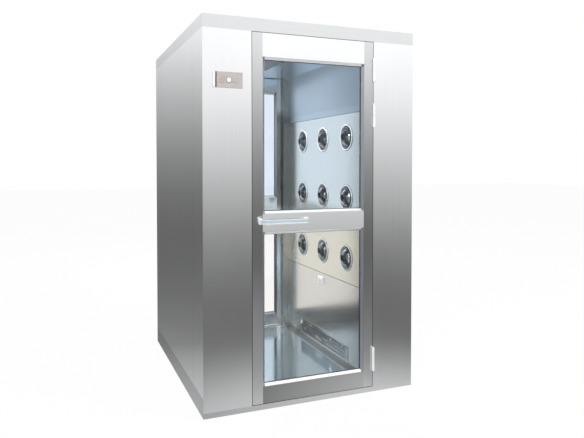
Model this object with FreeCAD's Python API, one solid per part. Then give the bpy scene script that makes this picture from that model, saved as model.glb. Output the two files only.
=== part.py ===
import FreeCAD, Part
import math
import os

# Walk-through air shower for a cleanroom entrance, in millimetres.
# X runs along the front, Y runs through the two doors and Z is up.
# The origin is on the floor, in the middle of the cabinet's footprint.

# How far a cutting block passes the faces that it opens, and the least gap between two points
beyond = 1.0
same_place = 0.01

# Cabinet
cabinet_width = 1300.0
cabinet_depth = 1500.0
cabinet_height = 2150.0
roof_band = 72.0
sheet = 1.5
cabin_width = 800.0
corner_return = 240.0
corner_radius = 2.5
panel_seam = 2.0
fold = 20.0

# Base frame and floor
side_tube_height = 105.0
side_tube_width = 48.0
inner_tube_width = 50.0
threshold_height = 30.0
threshold_width = 80.0
tube_wall = 3.0
floor_thickness = 2.0
joist_width = 40.0
joist_count = 8
cross_tie_count = 3

# Inner walls and ceiling
ceiling_drop = 22.0
lower_wall_top = 578.0
nozzle_panel_top = 1690.0
wall_seam = 1.5
wall_foot = 40.0

# Doors
door_width = 750.0
door_thickness = 46.0
door_gap = 3.0
stile_width = 60.0
top_rail = 130.0
bottom_rail = 95.0
mid_rail_bottom = 985.0
mid_rail_height = 100.0
leaf_skin = 2.0
glass_thickness = 8.0
glass_clearance = 2.0
bead_width = 14.0
bead_lip = 2.0
bead_setback = 1.0
bead_nose = 6.0

# Door surround and its seal
seal_space = 6.0
seal_width = 12.0
seal_clearance = 0.3
stop_overlap = 15.0
surround_depth = 28.0
surround_wrap = 20.0
surround_wall = 3.0

# Hinges
hinge_height = 135.0
bottom_hinge_rise = 164.0
middle_hinge_drop = 431.0
top_hinge_drop = 162.0
knuckle_radius = 8.0
knuckle_stand_off = 0.5
knuckle_gap = 0.3
pin_radius = 4.0
pin_clearance = 0.05
hinge_plate = 2.0
hinge_plate_depth = 30.0
hinge_fit = 0.2

# Pull handle, a bow of chamfered bar
handle_length = 285.0
handle_left_end = -335.0
handle_height = 1043.0
handle_reach = 60.0
handle_bar_height = 28.0
handle_bar_depth = 14.0
handle_chamfer = 4.0
handle_bend = 26.0

# Interlock magnets above the latch side of each door
magnet_length = 250.0
magnet_height = 45.0
magnet_depth = 20.0
magnet_left_end = -340.0
armature_length = 180.0
armature_height = 38.0
armature_thickness = 12.0
magnet_clearance = 0.3

# Air nozzles
nozzle_columns = 3
nozzle_rows = 3
nozzle_spacing_y = 360.0
nozzle_spacing_z = 396.0
bottom_row_height = 742.0
ball_radius = 70.0
ball_clearance = 0.4
ball_setback = 36.0
ball_back = 12.0
ball_steps = 6
socket_steps = 3
ball_lip_radius = 26.0
throat_radius = 20.0
throat_length = 24.0
bell_radius = 56.0
ring_radius = 86.0
ring_proud = 6.0
ring_rim = 2.0
ring_face_width = 7.0
collar_wall = 4.0
collar_length = 48.0
collar_clearance = 0.5

# Return air grille and its coarse filter
grille_length = 780.0
grille_height = 120.0
grille_bottom = 52.0
grille_thickness = 3.0
grille_border = 14.0
grille_rows = 3
grille_columns = 26
grille_bar = 8.0
grille_overlap = 10.0
prefilter_length = 740.0
prefilter_height = 140.0
prefilter_thickness = 44.0
prefilter_gap = 2.0

# Blower, in each side cabinet, its scroll sized to the room there
deck_height = 470.0
deck_thickness = 2.0
fan_axis_height = 340.0
fan_width = 170.0
fan_wall = 2.0
scroll_side_gap = 15.5
scroll_growth = 28.0
cutoff_gap = 10.0
inlet_step = 18.0
impeller_clearance = 6.0
impeller_plate = 2.0
blade_count = 8
blade_lean = 22.5
blade_length = 22.0
blade_thickness = 2.0
hub_radius = 18.0
hub_length = 40.0
shaft_radius = 6.0
shaft_clearance = 0.05
motor_radius = 55.0
motor_length = 110.0
flange_width = 14.0

# High efficiency filter on the deck above each blower
filter_length = 960.0
filter_side_gap = 13.5
filter_height = 100.0
filter_frame = 15.0
filter_recess = 6.0

# Ceiling light
light_length = 900.0
light_width = 160.0
light_depth = 50.0
light_lip = 12.0
light_lip_thickness = 2.0
light_wall = 2.0

# Control plate on the front, with its start button and the box behind it
control_drop = 271.0
control_width = 155.0
control_height = 86.0
control_thickness = 3.0
control_bevel = 2.0
button_radius = 12.0
button_proud = 5.0
button_length = 14.0
button_clearance = 0.4
button_chamfer = 1.0
box_outer_gap = 63.0
box_surround_gap = 7.0
box_height = 240.0
box_depth = 90.0

# Emergency stop on the left inner wall
stop_position_y = -560.0
stop_height = 1200.0
stop_box_size = 72.0
stop_box_depth = 30.0
stop_box_corner = 4.0
stop_head_radius = 20.0
stop_head_depth = 12.0
stop_head_chamfer = 3.5
stop_stem_radius = 10.0
stop_stem_length = 14.0
stop_travel_gap = 6.0
stop_clearance = 0.4

# Presence sensors, one on each lower wall
sensor_length = 80.0
sensor_height = 50.0
sensor_depth = 12.0
sensor_chamfer = 3.0
sensor_position_y = 20.0
sensor_centre_z = 525.0

# Places worked out from the sizes above
half_width = cabinet_width / 2
half_depth = cabinet_depth / 2
front = -half_depth
band_bottom = cabinet_height - roof_band
ceiling_height = band_bottom - ceiling_drop
wall_x = cabin_width / 2
door_half = door_width / 2
jamb_x = door_half + door_gap
leaf_bottom = threshold_height + door_gap
leaf_top = band_bottom - door_gap
leaf_back = front + door_thickness
stop_face = leaf_back + seal_space
surround_back = stop_face + surround_depth
surround_x = door_half - stop_overlap
surround_head = leaf_top - stop_overlap
hinge_heights = [
    leaf_bottom + bottom_hinge_rise,
    leaf_top - middle_hinge_drop,
    leaf_top - top_hinge_drop,
]
panel_length = half_depth - corner_return - panel_seam
cabinet_inner_x = half_width - sheet
ball_centre_x = wall_x + ball_setback
socket_front = math.asin((ball_setback + ring_proud) / ball_radius)
socket_back = math.asin((collar_length - ball_setback) / ball_radius)
socket_half_step = (socket_front + socket_back) / socket_steps / 2
socket_radius = (ball_radius + ball_clearance) / math.cos(socket_half_step)
fan_x = (wall_x + half_width) / 2
scroll_outer = cabinet_inner_x - fan_x - scroll_side_gap
scroll_inner = scroll_outer - scroll_growth
impeller_radius = scroll_inner - cutoff_gap
inlet_radius = impeller_radius - inlet_step
filter_width = cabinet_inner_x - wall_x - sheet - 2 * filter_side_gap
box_left = box_outer_gap - half_width
box_right = -(wall_x + surround_wrap + box_surround_gap)
control_centre_x = (box_left + box_right) / 2
control_centre_z = band_bottom - control_drop
pin_x = (door_half + jamb_x) / 2
pin_y = front - knuckle_radius - knuckle_stand_off
pane_half = door_half - stile_width
panes = [
    (leaf_bottom + bottom_rail, mid_rail_bottom),
    (mid_rail_bottom + mid_rail_height, leaf_top - top_rail),
]

os.makedirs("parts", exist_ok=True)


def block(x_range, y_range, z_range):
    """Rectangular block between three pairs of limits."""
    sizes = [high - low for low, high in (x_range, y_range, z_range)]
    corner = FreeCAD.Vector(x_range[0], y_range[0], z_range[0])
    return Part.makeBox(sizes[0], sizes[1], sizes[2], corner)


def outline(points):
    """Flat face inside the closed polygon through the points."""
    return Part.Face(Part.makePolygon(points + [points[0]]))


def turned(points):
    """Solid of revolution about X from the (x, radius) points of its profile."""
    face = outline([FreeCAD.Vector(x, 0, radius) for x, radius in points])
    return face.revolve(FreeCAD.Vector(0, 0, 0), FreeCAD.Vector(1, 0, 0), 360)


def round_profile(radius, x_low, x_high, steps):
    """Points on a ball's profile between two distances from its centre, at even angles."""
    first = math.acos(x_low / radius)
    last = math.acos(x_high / radius)
    angles = [first + (last - first) * step / steps for step in range(steps + 1)]
    return [(ball_centre_x + radius * math.cos(a), radius * math.sin(a)) for a in angles]


def folded(points, z_low, z_high):
    """Upright sheet folded along the points, its metal on the right of the path."""
    inner = []
    for index, (x, y) in enumerate(points):
        before = points[max(index - 1, 0)]
        after = points[min(index + 1, len(points) - 1)]
        normals = []
        for a, b in ((before, (x, y)), ((x, y), after)):
            length = math.hypot(b[0] - a[0], b[1] - a[1])
            if length > 0:
                normals.append(((b[1] - a[1]) / length, (a[0] - b[0]) / length))
        first = normals[0]
        last = normals[-1]
        share = 1 + first[0] * last[0] + first[1] * last[1]
        move_x = sheet * (first[0] + last[0]) / share
        move_y = sheet * (first[1] + last[1]) / share
        inner.append((x + move_x, y + move_y))
    ring = list(points) + inner[::-1]
    face = outline([FreeCAD.Vector(x, y, z_low) for x, y in ring])
    return face.extrude(FreeCAD.Vector(0, 0, z_high - z_low))


def mirror_x(shape):
    """The same shape on the other side of the middle plane between the walls."""
    return shape.mirror(FreeCAD.Vector(0, 0, 0), FreeCAD.Vector(1, 0, 0))


def mirror_y(shape):
    """The same shape at the other door."""
    return shape.mirror(FreeCAD.Vector(0, 0, 0), FreeCAD.Vector(0, 1, 0))


def at(shape, x, y, z):
    """Copy of a shape moved by the three lengths."""
    copy = shape.copy()
    copy.translate(FreeCAD.Vector(x, y, z))
    return copy


def round_cabinet_corners(shape):
    """Trim a shape to the cabinet's footprint, whose four corners are rounded."""
    prism = block((-half_width, half_width), (front, -front), (0, cabinet_height))
    upright = [edge for edge in prism.Edges if edge.BoundBox.ZLength > sheet]
    return shape.common(prism.makeFillet(corner_radius, upright))


def save(name, *shapes):
    """Write one sub-part, made of one or more solids, to its own file."""
    solids = [solid for shape in shapes for solid in shape.Solids]
    result = solids[0] if len(solids) == 1 else Part.makeCompound(solids)
    result.exportStep("parts/" + name + ".step")


def save_pair(name, shape):
    """Write a right-hand sub-part and its mirror image on the left."""
    save(name + "_right", shape)
    save(name + "_left", mirror_x(shape))


# Base frame, welded from rectangular tube

def tube(x_range, y_range, z_range, along):
    """Rectangular tube with open ends along X or Y."""
    spans = {"X": x_range, "Y": y_range, "Z": z_range}
    hollow = []
    for name in "XYZ":
        low, high = spans[name]
        inset = 0 if name == along else tube_wall
        hollow.append((low + inset, high - inset))
    return block(x_range, y_range, z_range).cut(block(*hollow))


def base_frame():
    """Flat frame under the floor, and a taller tube notched over it along each side."""
    side_y = (front + sheet, -front - sheet)
    inner_start = wall_x + sheet
    inner_x = (inner_start, inner_start + inner_tube_width)
    outer_x = (half_width - side_tube_width, half_width)
    first = front + threshold_width
    members = []
    for y_range in ((front, first), (-first, -front)):
        members.append(tube((-half_width, half_width), y_range, (0, threshold_height), "X"))
    for x_range in (inner_x, (-inner_x[1], -inner_x[0])):
        members.append(tube(x_range, (first, -first), (0, threshold_height), "Y"))
    for index in range(cross_tie_count):
        middle = (index - (cross_tie_count - 1) / 2) * half_depth / 2
        tie_y = (middle - joist_width / 2, middle + joist_width / 2)
        for x_range in ((inner_x[1], outer_x[0]), (-outer_x[0], -inner_x[1])):
            members.append(tube(x_range, tie_y, (0, threshold_height), "X"))
    bay = -2 * first / (joist_count + 1)
    joist_top = threshold_height - floor_thickness
    for index in range(joist_count):
        middle = first + bay * (index + 1)
        joist_y = (middle - joist_width / 2, middle + joist_width / 2)
        members.append(tube((-inner_start, inner_start), joist_y, (0, joist_top), "X"))
    flat_frame = round_cabinet_corners(members[0].multiFuse(members[1:]).removeSplitter())
    side_tube = tube(outer_x, side_y, (0, side_tube_height), "Y")
    for y_range in ((front, first), (-first, -front)):
        side_tube = side_tube.cut(block((-half_width, half_width), y_range, (0, threshold_height)))
    side_tube = round_cabinet_corners(side_tube)
    return [flat_frame, side_tube, mirror_x(side_tube)]


def floor_plate():
    """Stainless floor between the thresholds, flush with their tops."""
    x_range = (-wall_x - sheet, wall_x + sheet)
    y_range = (front + threshold_width, -front - threshold_width)
    return block(x_range, y_range, (threshold_height - floor_thickness, threshold_height))


# Outer casing of folded stainless sheet

def corner_panel():
    """Front right corner: side return, front face and door jamb in one sheet."""
    path = [
        (half_width - fold, front + corner_return),
        (half_width, front + corner_return),
        (half_width, front),
        (jamb_x, front),
        (jamb_x, stop_face),
        (jamb_x + fold, stop_face),
    ]
    panel = round_cabinet_corners(folded(path, threshold_height, band_bottom))
    over_sill = block((wall_x, half_width + beyond),
                      (front + sheet, front + corner_return + beyond),
                      (threshold_height - beyond, side_tube_height))
    return panel.cut(over_sill)


def side_panel():
    """Removable side panel, a shallow tray with its edges folded inwards."""
    y_range = (-panel_length, panel_length)
    tray = block((half_width - fold, half_width), y_range, (side_tube_height, band_bottom))
    inner = block((half_width - fold - beyond, half_width - sheet),
                  (y_range[0] + sheet, y_range[1] - sheet),
                  (side_tube_height + sheet, band_bottom - sheet))
    return tray.cut(inner)


def roof_cover():
    """Roof pan with the upright band all round and a fold under its lower edge."""
    pan = block((-half_width, half_width), (front, -front), (band_bottom, cabinet_height))
    room = block((-half_width + sheet, half_width - sheet), (front + sheet, -front - sheet),
                 (band_bottom + sheet, cabinet_height - sheet))
    mouth = block((-half_width + fold, half_width - fold), (front + fold, -front - fold),
                  (band_bottom - beyond, band_bottom + 2 * sheet))
    return round_cabinet_corners(pan.cut(room).cut(mouth))


def door_surround():
    """Two channel-shaped jambs and a head behind the front leaf, which closes on them."""
    outer_x = wall_x + surround_wrap
    y_range = (stop_face, surround_back)
    channel_y = (stop_face + surround_wall, surround_back - surround_wall)
    jamb = block((surround_x, outer_x), y_range, (threshold_height, band_bottom))
    jamb = jamb.cut(block((surround_x + surround_wall, outer_x + beyond), channel_y,
                          (threshold_height - beyond, band_bottom + beyond)))
    head = block((-surround_x, surround_x), y_range, (surround_head, band_bottom))
    head = head.cut(block((-surround_x - beyond, surround_x + beyond), channel_y,
                          (surround_head + surround_wall, band_bottom + beyond)))
    return [jamb, mirror_x(jamb), head]


def door_seal():
    """Rubber seal on the surround, along both jambs and the head."""
    y_range = (leaf_back + seal_clearance, stop_face)
    margin = (stop_overlap - seal_width) / 2
    outer_x = door_half - margin
    inner_x = outer_x - seal_width
    outer = block((-outer_x, outer_x), y_range, (leaf_bottom, leaf_top - margin))
    inner = block((-inner_x, inner_x), (y_range[0] - beyond, y_range[1] + beyond),
                  (leaf_bottom - beyond, leaf_top - margin - seal_width))
    return outer.cut(inner)


# Inner walls, with their upper and lower edges folded away from the cabin

def inner_wall(z_low, z_high):
    """One sheet of the right inner wall, between the two door surrounds."""
    y_range = (surround_back, -surround_back)
    tray = block((wall_x, wall_x + fold), y_range, (z_low, z_high))
    behind = block((wall_x + sheet, wall_x + fold + beyond),
                   (y_range[0] - beyond, y_range[1] + beyond), (z_low + sheet, z_high - sheet))
    return tray.cut(behind)


def nozzle_places():
    """Y and Z of each nozzle on a wall, row by row from the bottom."""
    places = []
    for row in range(nozzle_rows):
        for column in range(nozzle_columns):
            y = (column - (nozzle_columns - 1) / 2) * nozzle_spacing_y
            places.append((y, bottom_row_height + row * nozzle_spacing_z))
    return places


def nozzle_panel():
    """Middle sheet of the wall, with a round hole for the collar of each nozzle."""
    panel = inner_wall(lower_wall_top + wall_seam, nozzle_panel_top - wall_seam)
    hole_radius = socket_radius + collar_wall + collar_clearance
    holes = []
    for y, z in nozzle_places():
        start = FreeCAD.Vector(wall_x - beyond, y, z)
        depth = sheet + 2 * beyond
        holes.append(Part.makeCylinder(hole_radius, depth, start, FreeCAD.Vector(1, 0, 0)))
    return panel.cut(Part.makeCompound(holes))


def grille_window():
    """Opening in the lower wall behind the grille, as y and z limits."""
    half = grille_length / 2 - grille_overlap
    bottom = grille_bottom + grille_overlap
    top = grille_bottom + grille_height - grille_overlap
    return (-half, half), (bottom, top)


def lower_wall():
    """Lower sheet of the wall, with its foot on the floor and the grille opening."""
    y_range = (surround_back, -surround_back)
    face = block((wall_x, wall_x + sheet), y_range, (threshold_height, lower_wall_top))
    foot = block((wall_x - wall_foot, wall_x + sheet), y_range,
                 (threshold_height, threshold_height + sheet))
    top_fold = block((wall_x, wall_x + fold), y_range, (lower_wall_top - sheet, lower_wall_top))
    window_y, window_z = grille_window()
    window = block((wall_x - beyond, wall_x + sheet + beyond), window_y, window_z)
    return face.fuse(foot).fuse(top_fold).removeSplitter().cut(window)


def ceiling_panel():
    """Ceiling sheet resting on the inner walls, with the opening for the light."""
    x_range = (-wall_x - sheet, wall_x + sheet)
    y_range = (surround_back, -surround_back)
    sheet_z = (ceiling_height, ceiling_height + sheet)
    plate = block(x_range, y_range, sheet_z)
    for sign in (-1, 1):
        edge_y = (surround_back, surround_back + sheet)
        if sign > 0:
            edge_y = (-surround_back - sheet, -surround_back)
        plate = plate.fuse(block(x_range, edge_y, (ceiling_height, ceiling_height + fold)))
    opening = block((-light_width / 2, light_width / 2), (-light_length / 2, light_length / 2),
                    (ceiling_height - beyond, ceiling_height + sheet + beyond))
    return plate.removeSplitter().cut(opening)


def ceiling_light():
    """Recessed lamp tray: a lip below the ceiling and a body above it."""
    half_x = light_width / 2 - panel_seam / 2
    half_y = light_length / 2 - panel_seam / 2
    body = block((-half_x, half_x), (-half_y, half_y),
                 (ceiling_height - light_lip_thickness, ceiling_height + light_depth))
    lip = block((-half_x - light_lip, half_x + light_lip), (-half_y - light_lip, half_y + light_lip),
                (ceiling_height - light_lip_thickness, ceiling_height))
    tray = body.fuse(lip).removeSplitter()
    room = block((-half_x + light_wall, half_x - light_wall),
                 (-half_y + light_wall, half_y - light_wall),
                 (ceiling_height - light_lip_thickness + light_wall,
                  ceiling_height + light_depth + beyond))
    return tray.cut(room)


# Nozzles: a turned ring with a round socket, and the ball that tilts in it

def nozzle_ring():
    """Ring and collar of one nozzle on the right wall, at y = 0 and z = 0."""
    face_x = wall_x - ring_proud
    back_x = wall_x + collar_length
    collar_radius = socket_radius + collar_wall
    socket = round_profile(socket_radius, back_x - ball_centre_x, face_x - ball_centre_x,
                           socket_steps)
    mouth = socket[-1][1]
    outside = [
        (face_x, mouth + ring_face_width),
        (wall_x - ring_rim, ring_radius),
        (wall_x, ring_radius),
        (wall_x, collar_radius),
        (back_x, collar_radius),
    ]
    return turned(socket + outside)


def nozzle_ball():
    """Ball with its bell-mouthed bore, on the right wall at y = 0 and z = 0."""
    lip_offset = -math.sqrt(ball_radius ** 2 - ball_lip_radius ** 2)
    outside = round_profile(ball_radius, ball_back, lip_offset, ball_steps)
    bore = [
        (ball_centre_x + lip_offset + throat_length, throat_radius),
        (ball_centre_x + ball_back, bell_radius),
    ]
    return turned(outside + bore)


# Return air grille with rows of upright slots

def return_grille():
    """Screwed-on grille plate over the opening in the right lower wall."""
    y_range = (-grille_length / 2, grille_length / 2)
    plate = block((wall_x - grille_thickness, wall_x), y_range,
                  (grille_bottom, grille_bottom + grille_height))
    pitch_y = (grille_length - 2 * grille_border + grille_bar) / grille_columns
    pitch_z = (grille_height - 2 * grille_border + grille_bar) / grille_rows
    slots = []
    for column in range(grille_columns):
        for row in range(grille_rows):
            y = -grille_length / 2 + grille_border + column * pitch_y
            z = grille_bottom + grille_border + row * pitch_z
            slots.append(block((wall_x - grille_thickness - beyond, wall_x + beyond),
                               (y, y + pitch_y - grille_bar), (z, z + pitch_z - grille_bar)))
    return plate.cut(Part.makeCompound(slots))


def prefilter():
    """Coarse filter pad standing on the inner base tube behind the grille."""
    x_low = wall_x + sheet + prefilter_gap
    half = prefilter_length / 2
    return block((x_low, x_low + prefilter_thickness), (-half, half),
                 (threshold_height, threshold_height + prefilter_height))


# Blower: deck, scroll housing, impeller and motor

def scroll_face(inset, y):
    """Spiral outline of the scroll about the fan axis, with its outlet upwards."""
    def rim(degrees):
        share = (degrees - 90) / 270
        radius = scroll_inner + (scroll_outer - scroll_inner) * share - inset
        angle = math.radians(degrees)
        return FreeCAD.Vector(fan_x + radius * math.cos(angle), y,
                              fan_axis_height + radius * math.sin(angle))

    top = deck_height - deck_thickness
    edges = [Part.Arc(rim(a), rim(a + 45), rim(a + 90)).toShape() for a in (90, 180, 270)]
    outlet_right = FreeCAD.Vector(rim(360).x, y, top)
    outlet_left = FreeCAD.Vector(fan_x + inset, y, top)
    tongue = FreeCAD.Vector(fan_x + inset, y, rim(90).z)
    corners = [rim(360), outlet_right, outlet_left, tongue, rim(90)]
    for a, b in zip(corners, corners[1:]):
        if a.distanceToPoint(b) > same_place:
            edges.append(Part.makeLine(a, b))
    return Part.Face(Part.Wire(Part.__sortEdges__(edges)))


def blower_housing():
    """Scroll housing hung from the deck by the flange round its outlet."""
    half = fan_width / 2
    along = FreeCAD.Vector(0, 1, 0)
    shell = scroll_face(0, -half).extrude(along * fan_width)
    room = scroll_face(fan_wall, -half + fan_wall).extrude(along * (fan_width - 2 * fan_wall))
    top = deck_height - deck_thickness
    outlet = block((fan_x + fan_wall, fan_x + scroll_outer - fan_wall),
                   (-half + fan_wall, half - fan_wall),
                   (top - fan_wall - beyond, deck_height + beyond))
    flange = block((fan_x - flange_width, fan_x + scroll_outer),
                   (-half - flange_width, half + flange_width), (top, deck_height))
    wall_cut = fan_wall + 2 * beyond
    inlet = Part.makeCylinder(inlet_radius, wall_cut,
                              FreeCAD.Vector(fan_x, -half - beyond, fan_axis_height), along)
    closed_side = half - fan_wall - beyond
    shaft_hole = Part.makeCylinder(hub_radius, wall_cut,
                                   FreeCAD.Vector(fan_x, closed_side, fan_axis_height), along)
    return shell.fuse(flange).cut(room).cut(outlet).cut(inlet).cut(shaft_hole)


def impeller():
    """Fan wheel: back plate with hub, ring at the inlet and leaning blades between."""
    half = fan_width / 2 - fan_wall - impeller_clearance
    along = FreeCAD.Vector(0, 1, 0)
    centre = FreeCAD.Vector(fan_x, 0, fan_axis_height)

    def disc(radius, y_low, y_high):
        start = centre + along * y_low
        return Part.makeCylinder(radius, y_high - y_low, start, along)

    ring = disc(impeller_radius, -half, -half + impeller_plate)
    ring = ring.cut(disc(inlet_radius, -half - beyond, -half + impeller_plate + beyond))
    back = disc(impeller_radius, half - impeller_plate, half)
    hub = disc(hub_radius, half - hub_length, half)
    bore = disc(shaft_radius + shaft_clearance, half - hub_length - beyond, half + beyond)
    inner_radius = impeller_radius - blade_length
    blade = block((inner_radius, impeller_radius - blade_thickness), (-half, half),
                  (-blade_thickness / 2, blade_thickness / 2))
    blade.rotate(FreeCAD.Vector(inner_radius, 0, 0), along, blade_lean)
    blades = []
    for index in range(blade_count):
        copy = blade.copy()
        copy.rotate(FreeCAD.Vector(0, 0, 0), along, index * 360 / blade_count)
        copy.translate(centre)
        blades.append(copy)
    return back.multiFuse([ring, hub] + blades).cut(bore)


def blower_motor():
    """Motor on the closed side of the scroll, with its shaft through the hub."""
    half = fan_width / 2
    along = FreeCAD.Vector(0, 1, 0)
    start = FreeCAD.Vector(fan_x, half, fan_axis_height)
    body = Part.makeCylinder(motor_radius, motor_length, start, along)
    shaft_start = half - fan_wall - impeller_clearance - hub_length
    shaft = Part.makeCylinder(shaft_radius, half - shaft_start,
                              FreeCAD.Vector(fan_x, shaft_start, fan_axis_height), along)
    return body.fuse(shaft)


def blower_deck():
    """Shelf across the side cabinet, with the outlet opening over the scroll."""
    half = fan_width / 2
    y_range = (-panel_length + fold, panel_length - fold)
    plate = block((wall_x + sheet, cabinet_inner_x), y_range,
                  (deck_height, deck_height + deck_thickness))
    folds = block((cabinet_inner_x - sheet, cabinet_inner_x), y_range,
                  (deck_height - fold, deck_height))
    opening = block((fan_x + fan_wall, fan_x + scroll_outer - fan_wall),
                    (-half + fan_wall, half - fan_wall),
                    (deck_height - beyond, deck_height + deck_thickness + beyond))
    return plate.fuse(folds).cut(opening)


def hepa_filter():
    """Filter cassette on the deck: a frame round a slightly sunk pleated pack."""
    bottom = deck_height + deck_thickness
    whole = block((fan_x - filter_width / 2, fan_x + filter_width / 2),
                  (-filter_length / 2, filter_length / 2), (bottom, bottom + filter_height))
    inner_x = filter_width / 2 - filter_frame
    inner_y = filter_length / 2 - filter_frame
    top_recess = block((fan_x - inner_x, fan_x + inner_x), (-inner_y, inner_y),
                       (bottom + filter_height - filter_recess, bottom + filter_height + beyond))
    low_recess = block((fan_x - inner_x, fan_x + inner_x), (-inner_y, inner_y),
                       (bottom - beyond, bottom + filter_recess))
    return whole.cut(top_recess).cut(low_recess)


# Doors: the front one is modelled and the rear one is its mirror image

def hinge_spans():
    """Lower and upper end of each hinge."""
    return [(z - hinge_height / 2, z + hinge_height / 2) for z in hinge_heights]


def hinge_leaf(x_range, z_low, z_high, knuckle):
    """Plate let into a door edge or jamb, with the knuckle that it carries."""
    low, high = knuckle
    plate = block(x_range, (front, front + hinge_plate_depth), (z_low, z_high))
    barrel = Part.makeCylinder(knuckle_radius, high - low, FreeCAD.Vector(pin_x, pin_y, low))
    tongue_y = pin_y + pin_radius + hinge_plate / 2
    tongue = block(x_range, (tongue_y, front), (low, high))
    bore = Part.makeCylinder(pin_radius + pin_clearance, high - low + 2 * beyond,
                             FreeCAD.Vector(pin_x, pin_y, low - beyond))
    return plate.fuse(barrel).fuse(tongue).cut(bore).removeSplitter()


def hinge_sets():
    """Jamb leaves, door leaves and pins of the front door's lift-off hinges."""
    jamb_leaves = []
    door_leaves = []
    pins = []
    for z_low, z_high in hinge_spans():
        middle = (z_low + z_high) / 2
        lower = (z_low, middle - knuckle_gap / 2)
        upper = (middle + knuckle_gap / 2, z_high)
        jamb_leaves.append(hinge_leaf((jamb_x, jamb_x + hinge_plate), z_low, z_high, lower))
        door_leaves.append(hinge_leaf((door_half - hinge_plate, door_half), z_low, z_high, upper))
        pins.append(Part.makeCylinder(pin_radius, z_high - z_low, FreeCAD.Vector(pin_x, pin_y, z_low)))
    return jamb_leaves, door_leaves, pins


def hinge_pockets(x_range):
    """Recesses that the hinge plates lie in, a little larger than the plates."""
    pockets = []
    for z_low, z_high in hinge_spans():
        pockets.append(block(x_range, (front - beyond, front + hinge_plate_depth + hinge_fit),
                             (z_low - hinge_fit, z_high + hinge_fit)))
    return Part.makeCompound(pockets)


def door_leaf():
    """Leaf frame welded from box sections: two stiles and three rails round the panes."""
    y_range = (front, leaf_back)
    leaf = block((-door_half, door_half), y_range, (leaf_bottom, leaf_top))
    for z_low, z_high in panes:
        leaf = leaf.cut(block((-pane_half, pane_half),
                              (y_range[0] - beyond, y_range[1] + beyond), (z_low, z_high)))
    room_y = (y_range[0] + leaf_skin, y_range[1] - leaf_skin)
    room_x = door_half - hinge_plate - leaf_skin
    room = block((-room_x, room_x), room_y, (leaf_bottom - beyond, leaf_top + beyond))
    ends = [(leaf_bottom - beyond, leaf_bottom + leaf_skin), (leaf_top - leaf_skin, leaf_top + beyond)]
    for low, high in ends:
        room = room.cut(block((-pane_half, pane_half), room_y, (low, high)))
    for low, high in panes:
        room = room.cut(block((-pane_half - leaf_skin, pane_half + leaf_skin), room_y,
                              (low - leaf_skin, high + leaf_skin)))
    return leaf.cut(room).cut(hinge_pockets((door_half - hinge_plate, door_half + beyond)))


def glass_planes():
    """Front and back of the glass, in the middle of the leaf's thickness."""
    middle = (front + leaf_back) / 2
    return middle - glass_thickness / 2, middle + glass_thickness / 2


def pane(z_low, z_high):
    """One pane of toughened glass, a little smaller than its opening."""
    half = pane_half - glass_clearance
    return block((-half, half), glass_planes(), (z_low + glass_clearance, z_high - glass_clearance))


def rectangle(inset, y, z_low, z_high):
    """Upright rectangular wire, inset from the edges of a pane opening."""
    half = pane_half - inset
    low = z_low + inset
    high = z_high - inset
    corners = [(-half, low), (half, low), (half, high), (-half, high), (-half, low)]
    return Part.makePolygon([FreeCAD.Vector(x, y, z) for x, z in corners])


def bead(z_low, z_high, face_y, glass_y):
    """Bevelled glazing bead round a pane, from near one face of the leaf to the glass."""
    inward = 1 if glass_y > face_y else -1
    outer_y = face_y + inward * bead_setback
    nose_y = glass_y - inward * bead_nose
    y_range = (min(outer_y, glass_y), max(outer_y, glass_y))
    ring = block((-pane_half, pane_half), y_range, (z_low, z_high))
    inner_half = pane_half - bead_width
    way = block((-inner_half, inner_half), (y_range[0] - beyond, y_range[1] + beyond),
                (z_low + bead_width, z_high - bead_width))
    slope = Part.makeLoft([rectangle(bead_lip, outer_y, z_low, z_high),
                           rectangle(bead_width, nose_y, z_low, z_high)], True, True)
    return ring.cut(way).cut(slope)


def glazing_beads():
    """Four beads: outside and inside, round the lower and the upper pane."""
    glass_front, glass_back = glass_planes()
    beads = []
    for z_low, z_high in panes:
        beads.append(bead(z_low, z_high, front, glass_front))
        beads.append(bead(z_low, z_high, leaf_back, glass_back))
    return beads


def pull_handle():
    """Horizontal bow handle, a chamfered bar carried round two bends."""
    left = handle_left_end + handle_bar_depth / 2
    right = left + handle_length - handle_bar_depth
    out = front - handle_reach + handle_bar_depth / 2
    diagonal = handle_bend * (1 - math.cos(math.radians(45)))

    def point(x, y):
        return FreeCAD.Vector(x, y, handle_height)

    path = Part.Wire([
        Part.makeLine(point(left, front), point(left, out + handle_bend)),
        Part.Arc(point(left, out + handle_bend), point(left + diagonal, out + diagonal),
                 point(left + handle_bend, out)).toShape(),
        Part.makeLine(point(left + handle_bend, out), point(right - handle_bend, out)),
        Part.Arc(point(right - handle_bend, out), point(right - diagonal, out + diagonal),
                 point(right, out + handle_bend)).toShape(),
        Part.makeLine(point(right, out + handle_bend), point(right, front)),
    ])
    half_x = handle_bar_depth / 2
    half_z = handle_bar_height / 2
    cut = handle_chamfer
    corners = [
        (-half_x, -half_z + cut), (-half_x + cut, -half_z), (half_x - cut, -half_z),
        (half_x, -half_z + cut), (half_x, half_z - cut), (half_x - cut, half_z),
        (-half_x + cut, half_z), (-half_x, half_z - cut), (-half_x, -half_z + cut),
    ]
    section = Part.makePolygon([FreeCAD.Vector(left + x, front, handle_height + z)
                                for x, z in corners])
    return path.makePipeShell([section], True, False)


def armature():
    """Steel plate on the inside of the top rail that the magnet holds."""
    left = magnet_left_end + (magnet_length - armature_length) / 2
    top = surround_head - magnet_clearance
    return block((left, left + armature_length), (leaf_back, leaf_back + armature_thickness),
                 (top - armature_height, top))


def door_magnet():
    """Holding magnet under the head of the surround, just behind the armature."""
    y_low = leaf_back + armature_thickness + magnet_clearance
    return block((magnet_left_end, magnet_left_end + magnet_length), (y_low, y_low + magnet_depth),
                 (surround_head - magnet_height, surround_head))


# Controls

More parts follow.
